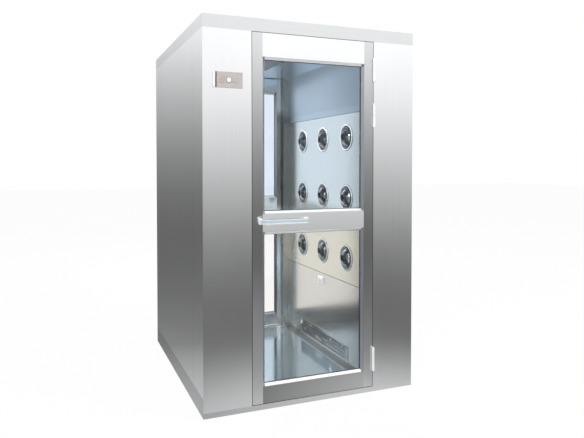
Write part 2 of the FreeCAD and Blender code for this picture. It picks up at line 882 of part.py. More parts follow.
def control_plate():
    """Bevelled plate on the front left panel, with the hole for its button."""
    half_x = control_width / 2
    half_z = control_height / 2
    wires = []
    for y, inset in ((front, 0), (front - control_thickness + control_bevel, 0),
                     (front - control_thickness, control_bevel)):
        corners = []
        for sx, sz in ((-1, -1), (1, -1), (1, 1), (-1, 1), (-1, -1)):
            corners.append(FreeCAD.Vector(control_centre_x + sx * (half_x - inset), y,
                                          control_centre_z + sz * (half_z - inset)))
        wires.append(Part.makePolygon(corners))
    back = Part.makeLoft(wires[:2], True, True)
    bevel = Part.makeLoft(wires[1:], True, True)
    return back.fuse(bevel).removeSplitter().cut(button_hole())


def button_hole():
    """Round hole for the start button, through the plate, the panel and its box."""
    start = FreeCAD.Vector(control_centre_x, front - control_thickness - beyond, control_centre_z)
    depth = control_thickness + button_length + 2 * beyond
    return Part.makeCylinder(button_radius + button_clearance, depth, start,
                             FreeCAD.Vector(0, 1, 0))


def start_button():
    """Round push button that stands proud of the control plate."""
    start = FreeCAD.Vector(control_centre_x, front - control_thickness - button_proud,
                           control_centre_z)
    button = Part.makeCylinder(button_radius, button_length, start, FreeCAD.Vector(0, 1, 0))
    rim = [edge for edge in button.Edges if abs(edge.BoundBox.Center.y - start.y) < same_place]
    return button.makeChamfer(button_chamfer, rim)


def control_box():
    """Electrical box behind the control plate, open towards the cabinet's inside."""
    x_range = (box_left, box_right)
    z_range = (control_centre_z - box_height / 2, control_centre_z + box_height / 2)
    box = block(x_range, (front + sheet, front + sheet + box_depth), z_range)
    room = block((x_range[0] + sheet, x_range[1] - sheet),
                 (front + 2 * sheet, front + sheet + box_depth + beyond),
                 (z_range[0] + sheet, z_range[1] - sheet))
    return box.cut(room).cut(button_hole())


def stop_box():
    """Housing of the emergency stop on the left inner wall."""
    half = stop_box_size / 2
    box = block((-wall_x, -wall_x + stop_box_depth),
                (stop_position_y - half, stop_position_y + half),
                (stop_height - half, stop_height + half))
    outward = [edge for edge in box.Edges if edge.BoundBox.XLength > sheet]
    box = box.makeFillet(stop_box_corner, outward)
    bore = Part.makeCylinder(stop_stem_radius + stop_clearance, stop_stem_length + beyond,
                             FreeCAD.Vector(-wall_x + stop_box_depth - stop_stem_length,
                                            stop_position_y, stop_height),
                             FreeCAD.Vector(1, 0, 0))
    return box.cut(bore)


def stop_button():
    """Mushroom head and stem of the emergency stop."""
    face = -wall_x + stop_box_depth
    inner_end = face - stop_stem_length + stop_travel_gap
    head_low = face + stop_travel_gap
    along = FreeCAD.Vector(1, 0, 0)
    stem = Part.makeCylinder(stop_stem_radius, head_low - inner_end,
                             FreeCAD.Vector(inner_end, stop_position_y, stop_height), along)
    head = Part.makeCylinder(stop_head_radius, stop_head_depth,
                             FreeCAD.Vector(head_low, stop_position_y, stop_height), along)
    rim = [edge for edge in head.Edges
           if abs(edge.BoundBox.Center.x - head_low - stop_head_depth) < same_place]
    return head.makeChamfer(stop_head_chamfer, rim).fuse(stem)


def sensor():
    """Small sensor housing on the right lower wall."""
    y_range = (sensor_position_y - sensor_length / 2, sensor_position_y + sensor_length / 2)
    z_range = (sensor_centre_z - sensor_height / 2, sensor_centre_z + sensor_height / 2)
    body = block((wall_x - sensor_depth, wall_x), y_range, z_range)
    front_edges = [edge for edge in body.Edges
                   if abs(edge.BoundBox.Center.x - wall_x + sensor_depth) < same_place]
    return body.makeChamfer(sensor_chamfer, front_edges)


# Write every sub-part

save("base_frame", *base_frame())
save("floor_plate", floor_plate())

front_right = corner_panel()
hinged = front_right.cut(hinge_pockets((jamb_x - beyond, jamb_x + hinge_plate)))
save("front_panel_right", hinged)
save("front_panel_left", mirror_x(front_right).cut(button_hole()))
save("rear_panel_right", mirror_y(hinged))
save("rear_panel_left", mirror_y(mirror_x(front_right)))

save_pair("side_panel", side_panel())
save("roof_cover", roof_cover())
save_pair("upper_wall", inner_wall(nozzle_panel_top, ceiling_height))
save_pair("nozzle_panel", nozzle_panel())
save_pair("lower_wall", lower_wall())
save("ceiling_panel", ceiling_panel())
save("ceiling_light", ceiling_light())

surround = door_surround()
save("front_surround", *surround)
save("rear_surround", *[mirror_y(shape) for shape in surround])
save("door_seals", door_seal(), mirror_y(door_seal()))

ring = nozzle_ring()
ball = nozzle_ball()
rings = [at(ring, 0, y, z) for y, z in nozzle_places()]
save_pair("nozzle_rings", Part.makeCompound(rings))
for row, name in enumerate(["bottom", "middle", "top"]):
    places = nozzle_places()[row * nozzle_columns:(row + 1) * nozzle_columns]
    save_pair("nozzle_balls_" + name, Part.makeCompound([at(ball, 0, y, z) for y, z in places]))

save_pair("return_grille", return_grille())
save("prefilters", prefilter(), mirror_x(prefilter()))
save("blower_decks", blower_deck(), mirror_x(blower_deck()))
save("blower_housings", blower_housing(), mirror_x(blower_housing()))
save_pair("impeller", impeller())
save("blower_motors", blower_motor(), mirror_x(blower_motor()))
save("hepa_filters", hepa_filter(), mirror_x(hepa_filter()))

jamb_leaves, door_leaves, pins = hinge_sets()
save("hinge_jamb_leaves", *jamb_leaves, *[mirror_y(leaf) for leaf in jamb_leaves])
save("hinge_pins", *pins, *[mirror_y(pin) for pin in pins])
save("door_magnets", door_magnet(), mirror_y(door_magnet()))

door_pieces = {
    "door_leaf": [door_leaf()],
    "lower_glass": [pane(*panes[0])],
    "upper_glass": [pane(*panes[1])],
    "glazing_beads": glazing_beads(),
    "pull_handle": [pull_handle()],
    "armature": [armature()],
    "hinge_door_leaves": door_leaves,
}
for name, shapes in door_pieces.items():
    save("front_" + name, *shapes)
    save("rear_" + name, *[mirror_y(shape) for shape in shapes])

save("control_plate", control_plate())
save("start_button", start_button())
save("control_box", control_box())
save("emergency_stop_box", stop_box())
save("emergency_stop_button", stop_button())
save("presence_sensors", sensor(), mirror_x(sensor()))
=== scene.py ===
import bpy
import bmesh
import math
import numpy as np
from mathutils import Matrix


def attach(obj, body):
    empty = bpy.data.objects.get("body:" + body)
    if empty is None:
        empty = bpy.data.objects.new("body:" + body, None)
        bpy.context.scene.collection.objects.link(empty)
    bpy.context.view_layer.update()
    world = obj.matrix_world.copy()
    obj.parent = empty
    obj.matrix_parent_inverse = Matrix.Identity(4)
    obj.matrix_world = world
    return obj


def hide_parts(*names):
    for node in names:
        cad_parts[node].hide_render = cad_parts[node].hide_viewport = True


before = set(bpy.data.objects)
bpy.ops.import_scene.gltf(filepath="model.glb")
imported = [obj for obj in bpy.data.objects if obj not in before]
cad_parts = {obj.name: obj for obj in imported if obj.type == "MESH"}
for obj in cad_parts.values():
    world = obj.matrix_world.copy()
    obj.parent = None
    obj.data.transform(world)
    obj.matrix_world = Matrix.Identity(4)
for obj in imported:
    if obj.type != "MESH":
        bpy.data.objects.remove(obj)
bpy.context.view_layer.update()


# Camera. The cabinet is seen from the front left, from a little above the pull handle, through a
# normal lens that tips down by a degree. The shift sets the horizon where the photograph has it.
viewpoint = (-1.366, -3.756, 1.356)
turn_right = 22.155
tilt_down = 1.423
focal_length = 35.80
sensor_width = 36.0
view_drop = -0.0685

camera_data = bpy.data.cameras.new("camera")
camera_data.sensor_width = sensor_width
camera_data.lens = focal_length
camera_data.shift_y = view_drop
camera = bpy.data.objects.new("camera", camera_data)
camera.location = viewpoint
camera.rotation_euler = (math.radians(90 - tilt_down), 0, math.radians(-turn_right))
bpy.context.scene.collection.objects.link(camera)
bpy.context.scene.camera = camera
bpy.context.scene.view_settings.view_transform = "Standard"


# Room and lamps. A white studio with three broad lamps. Metal sees a white upper room that falls
# off to grey below eye level, darker behind the cabinet, and a floor that is palest near its foot.
white_tone = (1, 1, 1)
ambient_tone = (0.80, 0.83, 0.86, 1)
ambient_strength = 0.62
room_glow = 1.08
room_turn = 0.25
room_ahead = [
    (0.00, 0.11), (0.29, 0.125), (0.4542, 0.287), (0.4799, 0.417), (0.5052, 0.549), (0.5305, 0.69),
    (0.5562, 0.838), (0.5808, 0.95), (0.608, 1.0),
]
room_behind = [
    (0.00, 0.12), (0.4608, 0.14), (0.4846, 0.175), (0.5082, 0.232), (0.5314, 0.316), (0.5549, 0.43),
    (0.5782, 0.57), (0.6005, 0.755), (0.629, 0.90),
]
floor_reach = 20.0
floor_size = 60.0
floor_drop = 0.0005
floor_turn = 0.6
floor_ahead = [
    (0.045, 0.55), (0.0535, 0.49), (0.0725, 0.313), (0.0975, 0.155), (0.145, 0.139), (0.215, 0.153),
    (0.34, 0.21), (0.60, 0.308), (1.00, 0.41),
]
floor_behind = [
    (0.045, 0.24), (0.077, 0.19), (0.128, 0.155), (0.2075, 0.138), (0.355, 0.130), (0.675, 0.145),
    (1.00, 0.165),
]
floor_paint = (0.94, 0.94, 0.94, 1)
floor_white_share = 0.95
lamp_size = 3.6
lamp_target = (0, 0, 1.0)
lamp_setups = [
    ("left_lamp", (-3.4, -4.6, 4.6), 230.0),
    ("right_lamp", (4.4, -3.6, 4.2), 150.0),
    ("rear_lamp", (0.8, 5.0, 4.4), 120.0),
]
cabin_fill_size = (0.5, 1.0)
cabin_fill_height = 1.98
cabin_fill_power = 24.0


def feed(node, name, value):
    """Gives a node's input a value, or links another node's output to it."""
    socket = node.inputs[name]
    if isinstance(value, bpy.types.NodeSocket):
        node.id_data.links.new(value, socket)
    else:
        socket.default_value = value


def make(tree, kind, inputs=(), operation=None, data_type=None):
    """New shader node, its operation or type of data set before its inputs are fed."""
    node = tree.nodes.new("ShaderNode" + kind)
    if operation:
        node.operation = operation
    if data_type:
        node.data_type = data_type
    for name, value in dict(inputs).items():
        feed(node, name, value)
    return node


def split(tree, vector):
    """The X, Y and Z of a vector."""
    return make(tree, "SeparateXYZ", {"Vector": vector}).outputs


def scaled(tree, value, low, high):
    """Number that runs from 0 to 1 as a value goes from low to high."""
    ends = {"Value": value, "From Min": low, "From Max": high}
    return make(tree, "MapRange", ends).outputs["Result"]


def calculated(tree, operation, *values, clamp=False):
    """Result of one sum on values, each a socket or a number."""
    node = make(tree, "Math", dict(enumerate(values)), operation)
    node.use_clamp = clamp
    return node.outputs["Value"]


def blend(tree, share, first, second):
    """Colour between two, each a socket or three numbers, by a share from 0 to 1."""
    ends = [end if isinstance(end, bpy.types.NodeSocket) else (*end, 1) for end in (first, second)]
    inputs = {"Factor": share, "A": ends[0], "B": ends[1]}
    return make(tree, "Mix", inputs, data_type="RGBA").outputs["Result"]


def ramp(tree, place, rows, interpolation="LINEAR"):
    """Colour ramp over a number from 0 to 1, from rows of (position, colour)."""
    node = make(tree, "ValToRGB", {"Fac": place})
    node.color_ramp.interpolation = interpolation
    stops = node.color_ramp.elements
    stops.remove(stops[1])
    for index, (position, colour) in enumerate(rows):
        stop = stops[0] if index == 0 else stops.new(position)
        stop.position = position
        stop.color = (*colour, 1)
    return node.outputs["Color"]


def graded(tree, place, behind, tones_ahead, tones_behind):
    """What metal sees: a ramp of cool greys ahead of the cabinet, blended into one behind it."""
    ends = [ramp(tree, place, [(at, (grey, grey * 1.01, grey * 1.02)) for at, grey in tones])
            for tones in (tones_ahead, tones_behind)]
    return blend(tree, behind, *ends)


def by_ray(tree, plain, white, mirror, white_share=1.0):
    """Plain to most rays, white to the camera and through glass, graded to what metal mirrors."""
    path = make(tree, "LightPath").outputs
    seen = calculated(tree, "MAXIMUM", path["Is Camera Ray"], path["Is Transmission Ray"])
    mirrored = calculated(tree, "SUBTRACT", path["Is Glossy Ray"], seen, clamp=True)
    share = calculated(tree, "MULTIPLY", seen, white_share)
    mix = make(tree, "MixShader", {"Fac": share, 1: plain.outputs[0], 2: white.outputs[0]})
    mix = make(tree, "MixShader", {"Fac": mirrored, 1: mix.outputs[0], 2: mirror.outputs[0]})
    return mix.outputs["Shader"]


def build_room():
    """World: white to the camera and through glass, graded by height to metal."""
    world = bpy.data.worlds.new("studio")
    bpy.context.scene.world = world
    world.use_nodes = True
    tree = world.node_tree
    tree.nodes.clear()
    parts = split(tree, make(tree, "TexCoord").outputs["Generated"])
    height = scaled(tree, parts["Z"], -1.0, 1.0)
    behind = scaled(tree, parts["Y"], -room_turn, room_turn)
    plain = make(tree, "Background", {"Color": ambient_tone, "Strength": ambient_strength})
    white = make(tree, "Background", {"Color": (*white_tone, 1)})
    colour = graded(tree, height, behind, room_ahead, room_behind)
    mirror = make(tree, "Background", {"Color": colour, "Strength": room_glow})
    make(tree, "OutputWorld", {"Surface": by_ray(tree, plain, white, mirror)})


def build_floor():
    """Pale floor that keeps the cabinet's shadow; metal sees it graded by distance."""
    half = floor_size / 2
    corners = [(-half, -half, 0), (half, -half, 0), (half, half, 0), (-half, half, 0)]
    mesh = bpy.data.meshes.new("studio_floor")
    mesh.from_pydata(corners, [], [(0, 1, 2, 3)])
    floor = bpy.data.objects.new("studio_floor", mesh)
    bpy.context.scene.collection.objects.link(floor)
    floor.location.z = -floor_drop
    mat = bpy.data.materials.new("studio_floor")
    mat.use_nodes = True
    tree = mat.node_tree
    tree.nodes.clear()
    place = make(tree, "TexCoord").outputs["Object"]
    length = make(tree, "VectorMath", {0: place}, "LENGTH").outputs["Value"]
    distance = scaled(tree, length, 0.0, floor_reach)
    behind = scaled(tree, split(tree, place)["Y"], -floor_turn, floor_turn)
    colour = graded(tree, distance, behind, floor_ahead, floor_behind)
    mirror = make(tree, "Emission", {"Color": colour})
    painted = make(tree, "BsdfDiffuse", {"Color": floor_paint})
    white = make(tree, "Emission", {"Color": (*white_tone, 1)})
    surface = by_ray(tree, painted, white, mirror, floor_white_share)
    make(tree, "OutputMaterial", {"Surface": surface})
    mesh.materials.append(mat)


def add_lamp(name, place, power, size):
    """Square lamp that metal doesn't mirror. It faces down until it is turned."""
    data = bpy.data.lights.new(name, "AREA")
    data.size = size
    data.energy = power
    lamp = bpy.data.objects.new(name, data)
    lamp.location = place
    lamp.visible_glossy = False
    bpy.context.scene.collection.objects.link(lamp)
    return lamp


def build_lamps():
    """Broad lamps aimed at the middle of the cabinet, and a weak one under the ceiling for the
    painted and moulded things in the cabin."""
    for name, place, power in lamp_setups:
        lamp = add_lamp(name, place, power, lamp_size)
        aim = np.subtract(lamp_target, place)
        yaw = math.atan2(aim[1], aim[0])
        pitch = math.atan2(aim[2], math.hypot(aim[0], aim[1]))
        lamp.rotation_euler = (pitch + math.pi / 2, 0, yaw - math.pi / 2)
    width, length = cabin_fill_size
    lamp = add_lamp("cabin_fill", (0, 0, cabin_fill_height), cabin_fill_power, width)
    lamp.data.shape = "RECTANGLE"
    lamp.data.size_y = length
    lamp.visible_camera = False
    lamp.visible_transmission = False


build_room()
build_floor()
build_lamps()


# Casing: front and rear corner panels, side panels and the roof cover. Thin stainless sheet with an
# upright satin brush, folded on a press brake, its edges eased, and fixed from behind.
casing_nodes = ["front_panel_left", "front_panel_right", "rear_panel_left", "rear_panel_right",
                "side_panel_left", "side_panel_right"]
upright_grain = (520.0, 520.0, 5.0)
level_grain_x = (5.0, 520.0, 520.0)
level_grain_y = (520.0, 5.0, 520.0)
turned_grain = (300, 300, 300)


def plain_material(name):
    """New material with its node tree, its shader and the piece's own coordinates."""
    mat = bpy.data.materials.new(name)
    mat.use_nodes = True
    tree = mat.node_tree
    return mat, tree, tree.nodes["Principled BSDF"], make(tree, "TexCoord").outputs["Object"]


def noise_at(tree, place, scale, detail, rough=0.55):
    """Noise over the piece's own coordinates, stretched by a scale in each direction."""
    mapped = make(tree, "Mapping", {"Vector": place, "Scale": scale}).outputs["Vector"]
    inputs = {"Vector": mapped, "Scale": 1.0, "Detail": detail, "Roughness": rough}
    return make(tree, "TexNoise", inputs).outputs["Fac"]


def between(tree, value, low=0.0, high=1.0):
    """Number that runs from low to high as a noise goes through its middle range."""
    ends = {"Value": value, "From Min": 0.3, "From Max": 0.7, "To Min": low, "To Max": high}
    return make(tree, "MapRange", ends).outputs["Result"]


def bumped(tree, height, strength, distance, normal=None):
    """Normal that follows a height, on top of another normal where one is given."""
    inputs = {"Height": height, "Strength": strength, "Distance": distance}
    if normal is not None:
        inputs["Normal"] = normal
    return make(tree, "Bump", inputs).outputs["Normal"]


def leaned(tree, lean):
    """Normal of the face, tipped upward by the given amount and brought back to unit length."""
    upward = make(tree, "CombineXYZ", {"Z": lean}).outputs["Vector"]
    face = make(tree, "NewGeometry").outputs["Normal"]
    tipped = make(tree, "VectorMath", {0: face, 1: upward}, "ADD").outputs["Vector"]
    return make(tree, "VectorMath", {0: tipped}, "NORMALIZE").outputs["Vector"]


def brushed_steel(name, tone, grain, roughness, wave=0.08, streak=0.02, zones=None, metal=1.0):
    """Stainless sheet: fine grain lines, broad streaks, faint smears and a slightly wavy face.
    Zones give a share of the tone by place, and a lean of the face or None."""
    mat, tree, shader, place = plain_material(name)
    fine = noise_at(tree, place, grain, 2.0)
    broad = noise_at(tree, place, [g * 0.12 for g in grain], 3.0)
    smear = noise_at(tree, place, (2.6, 2.6, 1.7), 4.0)
    both = calculated(tree, "MULTIPLY", calculated(tree, "ADD", fine, broad), 0.5)
    colour = blend(tree, between(tree, both), [c * (1 - streak) for c in tone],
                   [min(1.0, c * (1 + streak)) for c in tone])
    face = None
    if zones:
        share, lean = zones(tree, place)
        colour = make(tree, "VectorMath", {0: colour, 1: share}, "MULTIPLY").outputs["Vector"]
        if lean is not None:
            face = leaned(tree, lean)
    wavy = bumped(tree, noise_at(tree, place, (1.9, 1.9, 1.3), 1.0), wave, 0.004, face)
    feed(shader, "Base Color", colour)
    feed(shader, "Metallic", metal)
    feed(shader, "Roughness", between(tree, smear, roughness - 0.02, roughness + 0.03))
    feed(shader, "Normal", bumped(tree, fine, 0.08, 0.0002, wavy))
    return mat


def dress(material, *names):
    """Gives a material to every slot of these nodes of the frame."""
    for name in names:
        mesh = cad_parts[name].data
        if not mesh.materials:
            mesh.materials.append(material)
        for index in range(len(mesh.materials)):
            mesh.materials[index] = material


dress(brushed_steel("casing_steel", (0.97, 0.97, 0.97), upright_grain, 0.18), *casing_nodes)
dress(brushed_steel("roof_steel", (0.79, 0.80, 0.80), level_grain_x, 0.22), "roof_cover")


# Base frame and floor. Welded rectangular tube, its weld seams ground flush, with a stainless floor
# plate laid between the two thresholds.
left_end_share = 0.70
left_end_levels = (-0.65, 0.25)


def base_zones(tree, place):
    """Share of the tone: the base is darker toward its left end."""
    along = scaled(tree, split(tree, place)["X"], *left_end_levels)
    return calculated(tree, "MULTIPLY_ADD", along, 1.0 - left_end_share, left_end_share), None


base_steel = brushed_steel("base_steel", (0.99, 0.99, 0.99), level_grain_x, 0.34, zones=base_zones)
dress(base_steel, "base_frame")
dress(brushed_steel("floor_steel", (0.43, 0.575, 0.70), level_grain_y, 0.12, streak=0.05),
      "floor_plate")


# Inner walls: three brushed sheets a side, their edges folded back and screwed from behind. The
# middle sheet carries the nozzles, and dark sealant fills the narrow joints above and below it.
wall_face = 0.400
foot_shade_share = (0.50, 0.56, 0.62)
foot_shade_levels = (0.045, 0.060)
warm_share = (0.88, 0.81, 0.74)
warm_slope = 0.114
warm_levels = (0.90, 1.00)
band_start = (0.96, 1.06)
band_end = (1.26, 1.10)
band_lean = 0.13
bow_levels = (1.72, 1.95)
bow_lean = -0.26
ceiling_shade_share = 0.90
seam_levels = (0.57875, 1.68925)
seam_height = 0.0032
seam_rise = 0.0004
wall_ends = 0.690


def foot_shade_zones(tree, place):
    """Share of the tone that drops along the foot of the wall, painted shade where it meets the
    floor.
    """
    above = scaled(tree, split(tree, place)["Z"], *foot_shade_levels)
    return blend(tree, above, foot_shade_share, white_tone), None


def panel_zones(tree, place):
    """Tone that turns warmer below a sloping line. The face leans upward in a band just above."""
    parts = split(tree, place)
    slope = calculated(tree, "MULTIPLY", parts["Y"], warm_slope)
    above = scaled(tree, calculated(tree, "ADD", parts["Z"], slope), *warm_levels)
    band = calculated(tree, "MINIMUM", scaled(tree, parts["Z"], *band_start),
                      scaled(tree, parts["Z"], *band_end))
    return (blend(tree, above, warm_share, white_tone),
            calculated(tree, "MULTIPLY", band, band_lean))


def top_zones(tree, place):
    """Tone that drops a little toward the ceiling as painted shade, on a face that bows downward
    there.
    """
    rise = scaled(tree, split(tree, place)["Z"], *bow_levels)
    fall = calculated(tree, "SUBTRACT", 1.0, rise)
    return (calculated(tree, "MAXIMUM", fall, ceiling_shade_share),
            calculated(tree, "MULTIPLY", rise, bow_lean))


wall_sheets = [
    ("upper_wall", (0.64, 0.75, 0.83), 0.32, top_zones),
    ("lower_wall", (0.70, 0.685, 0.65), 0.18, foot_shade_zones),
    ("nozzle_panel", (0.835, 0.89, 0.865), 0.20, panel_zones),
]
for sheet, tone, roughness, zones in wall_sheets:
    dress(brushed_steel(sheet + "_steel", tone, upright_grain, roughness, zones=zones),
          sheet + "_left", sheet + "_right")


# Air nozzles: a polished bezel over a rubber gasket, a darker turned seat with a round socket, and
# in it a ball with a bell-mouthed bore that tilts by hand. Nine to a wall, three to a row.
sides = {"left": -1, "right": 1}
nozzle_columns = (-0.360, 0.0, 0.360)
nozzle_rows = {"bottom": 0.742, "middle": 1.138, "top": 1.534}
nozzle_facets = 64
ball_radius = 0.070
ball_inset = 0.036
ball_back = 0.012
socket_radius = 0.0711
ring_outer = 0.086
ring_rise = 0.006
ring_depth = 0.048
rim_round = 0.0030
inner_round = 0.0018
seat_outer = 0.0780
crest_round = 0.0022
collar_wall = 0.004
lip_radius = 0.026
lip_round = 0.0026
throat_radius = 0.020
throat_depth = 0.024
bell_radius = 0.056
pole_gap = 0.000001
sharp_angle = 35.0


def add_piece(name, shape, material, body):
    """Closed mesh from a shape, which is a pair of point and face arrays, with its doubled points
    joined. It rides on a body."""
    points, faces = shape
    mesh = bpy.data.meshes.new(name)
    mesh.from_pydata(points.reshape(-1, 3).tolist(), [], faces.tolist())
    shell = bmesh.new()
    shell.from_mesh(mesh)
    bmesh.ops.remove_doubles(shell, verts=shell.verts, dist=pole_gap)
    bmesh.ops.recalc_face_normals(shell, faces=shell.faces)
    shell.to_mesh(mesh)
    shell.free()
    mesh.polygons.foreach_set("use_smooth", np.ones(len(mesh.polygons), dtype=bool))
    mesh.set_sharp_from_angle(angle=math.radians(sharp_angle))
    mesh.materials.append(material)
    piece = bpy.data.objects.new(name, mesh)
    bpy.context.scene.collection.objects.link(piece)
    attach(piece, body)
    return piece


def grid_faces(rows, columns, wrap_rows, wrap_columns):
    """Four-sided faces over a grid of points, closed round either way if asked."""
    r = np.arange(rows if wrap_rows else rows - 1)
    c = np.arange(columns if wrap_columns else columns - 1)
    r, c = np.meshgrid(r, c, indexing="ij")
    r_next = (r + 1) % rows
    c_next = (c + 1) % columns
    corners = [r * columns + c, r * columns + c_next, r_next * columns + c_next,
               r_next * columns + c]
    return np.stack(corners, axis=-1).reshape(-1, 4)


def turned(profile, facets, axis, places):
    """Surface of revolution, once at each place. A point is its profile's distance along the axis
    plus its radius turned evenly through a full circle."""
    profile = np.asarray(profile, float)
    angle = np.arange(facets) * 2 * math.pi / facets
    along = np.asarray(axis, float)
    side = np.array([along[1], along[2], along[0]])
    ring = np.cos(angle)[:, None] * side + np.sin(angle)[:, None] * np.cross(along, side)
    points = (profile[:, :1, None] * along + profile[:, 1:, None] * ring).reshape(-1, 3)
    faces = grid_faces(len(profile), facets, False, True)
    moved = points[None] + np.asarray(places, float)[:, None]
    shift = (np.arange(len(places)) * len(points))[:, None, None]
    return moved.reshape(-1, 3), (faces[None] + shift).reshape(-1, 4)


def arc_points(centre, radius, start, end, steps):
    """Points of an arc in the profile's plane, at even angles in degrees."""
    angle = np.radians(np.linspace(start, end, steps))
    return np.stack([centre[0] + radius * np.cos(angle), centre[1] + radius * np.sin(angle)],
                    axis=1)


def bezel_profile():
    """Bright bezel as (into the room, radius): a flat ring with a rounded rim and inner edge."""
    rim_height = ring_rise / 3
    rim = arc_points((rim_height, ring_outer - rim_round), rim_round, 90, 0, 6)
    centre = (rim_height + rim_round * 0.4, seat_outer + inner_round)
    inner = arc_points(centre, inner_round, 0, -90, 5)
    back = np.array([[0.0, seat_outer], [0.0, ring_outer]])
    return np.concatenate([rim, inner, back, rim[:1]])


def seat_profile():
    """Dark seat as (into the room, radius): a shallow dish, a crest, the round socket, a collar."""
    mouth = math.sqrt(socket_radius ** 2 - (ring_rise + ball_inset) ** 2)
    dish = np.array([[0.0, seat_outer], [0.0016, seat_outer], [0.0022, seat_outer - 0.004]])
    crest = arc_points((ring_rise - crest_round, mouth + 0.0030), crest_round, 100, -70, 8)
    start = math.asin((ring_rise + ball_inset - crest_round) / socket_radius)
    end = -math.asin((ring_depth - ball_inset) / socket_radius)
    angle = np.linspace(start, end, 10)
    socket = np.stack([np.sin(angle) * socket_radius - ball_inset, np.cos(angle) * socket_radius],
                      axis=1)
    collar = np.array([[-ring_depth, socket_radius + collar_wall],
                       [0.0, socket_radius + collar_wall], [0.0, seat_outer]])
    return np.concatenate([dish, crest, socket, collar])


def ball_profile():
    """Nozzle ball as (into the room, radius) from its centre: sphere, rolled lip, throat, bell."""
    lip_height = math.sqrt(ball_radius ** 2 - lip_radius ** 2)
    start = -math.asin(ball_back / ball_radius)
    angle = np.linspace(start, math.asin(lip_height / ball_radius), 26)
    sphere = np.stack([np.sin(angle) * ball_radius, np.cos(angle) * ball_radius], axis=1)
    lip = arc_points((lip_height - 0.0010, lip_radius - lip_round), lip_round, 60, -80, 7)
    share = np.linspace(0, 1, 9)
    bell_x = lip_height - throat_depth - share * (lip_height - throat_depth + ball_back)
    bell = np.stack([bell_x, throat_radius + (bell_radius - throat_radius) * share ** 1.8], axis=1)
    return np.concatenate([sphere, lip, bell, sphere[:1]])


def clouded(tree, noise, tone, share):
    """Tone that drops with a noise to a share of itself."""
    return blend(tree, between(tree, noise), [c * share for c in tone], tone)


def polished_metal(name, tone, roughness, swirl, metal=1.0):
    """Polished turned metal: very smooth, with faint buffing marks and a few dull patches."""
    mat, tree, shader, place = plain_material(name)
    marks = noise_at(tree, place, (140, 900, 140), 3.0)
    patches = noise_at(tree, place, (22, 22, 22), 3.0)
    feed(shader, "Base Color", clouded(tree, patches, tone, 0.93))
    feed(shader, "Metallic", metal)
    feed(shader, "Roughness", between(tree, patches, roughness, roughness + 0.07))
    feed(shader, "Normal", bumped(tree, marks, swirl, 0.0002))
    return mat


def seal_rubber(name):
    """Black rubber, dull, with a fine dusty bloom."""
    mat, tree, shader, place = plain_material(name)
    bloom = noise_at(tree, place, (60, 60, 60), 4.0)
    feed(shader, "Base Color",
         blend(tree, between(tree, bloom), (0.020, 0.020, 0.021), (0.045, 0.045, 0.046)))
    feed(shader, "Roughness", between(tree, bloom, 0.55, 0.75))
    return mat


def box_mesh(corner, opposite):
    """Six-sided block between two corners, its points counted along x, then y, then z."""
    x_ends, y_ends, z_ends = zip(corner, opposite)
    points = np.array([(x, y, z) for z in z_ends for y in y_ends for x in x_ends])
    faces = np.array([(0, 2, 3, 1), (4, 5, 7, 6), (0, 1, 5, 4), (2, 6, 7, 3), (0, 4, 6, 2),
                      (1, 3, 7, 5)])
    return points, faces


def joined(shapes):
    """Several shapes as one."""
    points = [shape[0].reshape(-1, 3) for shape in shapes]
    starts = np.cumsum([0] + [len(p) for p in points[:-1]])
    faces = [shape[1] + start for shape, start in zip(shapes, starts)]
    return np.concatenate(points), np.concatenate(faces)


gasket_ring = [(0.0, 0.0745), (0.0009, 0.0745), (0.0009, 0.0882), (0.0, 0.0886), (0.0, 0.0745)]
# The dark tones of the balls and seats are a painted reflection of the darker room round them.
nozzle_chrome = polished_metal("nozzle_chrome", (0.40, 0.42, 0.44), 0.04, 0.08)
seat_steel = polished_metal("seat_steel", (0.17, 0.18, 0.19), 0.16, 0.10)
ring_chrome = polished_metal("ring_chrome", (0.97, 0.98, 0.99), 0.12, 0.10, metal=0.55)
joint_rubber = seal_rubber("joint_rubber")
for side, sign in sides.items():
    inward = (-sign, 0, 0)
    places = [(sign * wall_face, y, z) for z in nozzle_rows.values() for y in nozzle_columns]
    rings = turned(bezel_profile(), nozzle_facets, inward, places)
    rings = add_piece("nozzle_rings_%s_polished" % side, rings, ring_chrome, "cabinet")
    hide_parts("nozzle_rings_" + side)
    seats = turned(seat_profile(), nozzle_facets, inward, places)
    add_piece("nozzle_seats_" + side, seats, seat_steel, "cabinet")
    for row, z in nozzle_rows.items():
        places = [(sign * (wall_face + ball_inset), y, z) for y in nozzle_columns]
        balls = turned(ball_profile(), nozzle_facets, inward, places)
        balls = add_piece("nozzle_balls_%s_%s_polished" % (row, side), balls, nozzle_chrome,
                          "nozzle_row_%s_%s" % (row, side))
        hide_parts("nozzle_balls_%s_%s" % (row, side))
for side, sign in sides.items():
    places = [(sign * wall_face, y, z) for z in nozzle_rows.values() for y in nozzle_columns]
    gaskets = turned(gasket_ring, nozzle_facets, (-sign, 0, 0), places)
    add_piece("nozzle_gaskets_" + side, gaskets, joint_rubber, "cabinet")
    seams = [box_mesh((sign * wall_face, -wall_ends, z - seam_height / 2),
                      (sign * (wall_face - seam_rise), wall_ends, z + seam_height / 2))
             for z in seam_levels]
    add_piece("wall_joints_" + side, joined(seams), joint_rubber, "cabinet")


# Return air grilles: punched stainless plates screwed over the openings low on each wall, with the
# white coarse filter showing through four rows of upright slots.
grille_length = 0.780
grille_bottom = 0.052
grille_height = 0.120
grille_thickness = 0.003
grille_border = 0.016
slot_columns = 54
slot_rows = 4
bar_width = 0.0052
screw_radius = 0.0042
screw_rise = 0.0020
screw_facets = 16
grille_screw_ends = (-0.382, -0.127, 0.127, 0.382)
grille_screw_heights = (0.008, 0.112)
dish_grain = (9.0, 9.0, 14.0)
dish_levels = (0.50, 0.66)
dish_bottom = (0.066, 0.070)
dish_top = (0.158, 0.154)
dish_lean = 0.40
off_highlight_share = 0.72


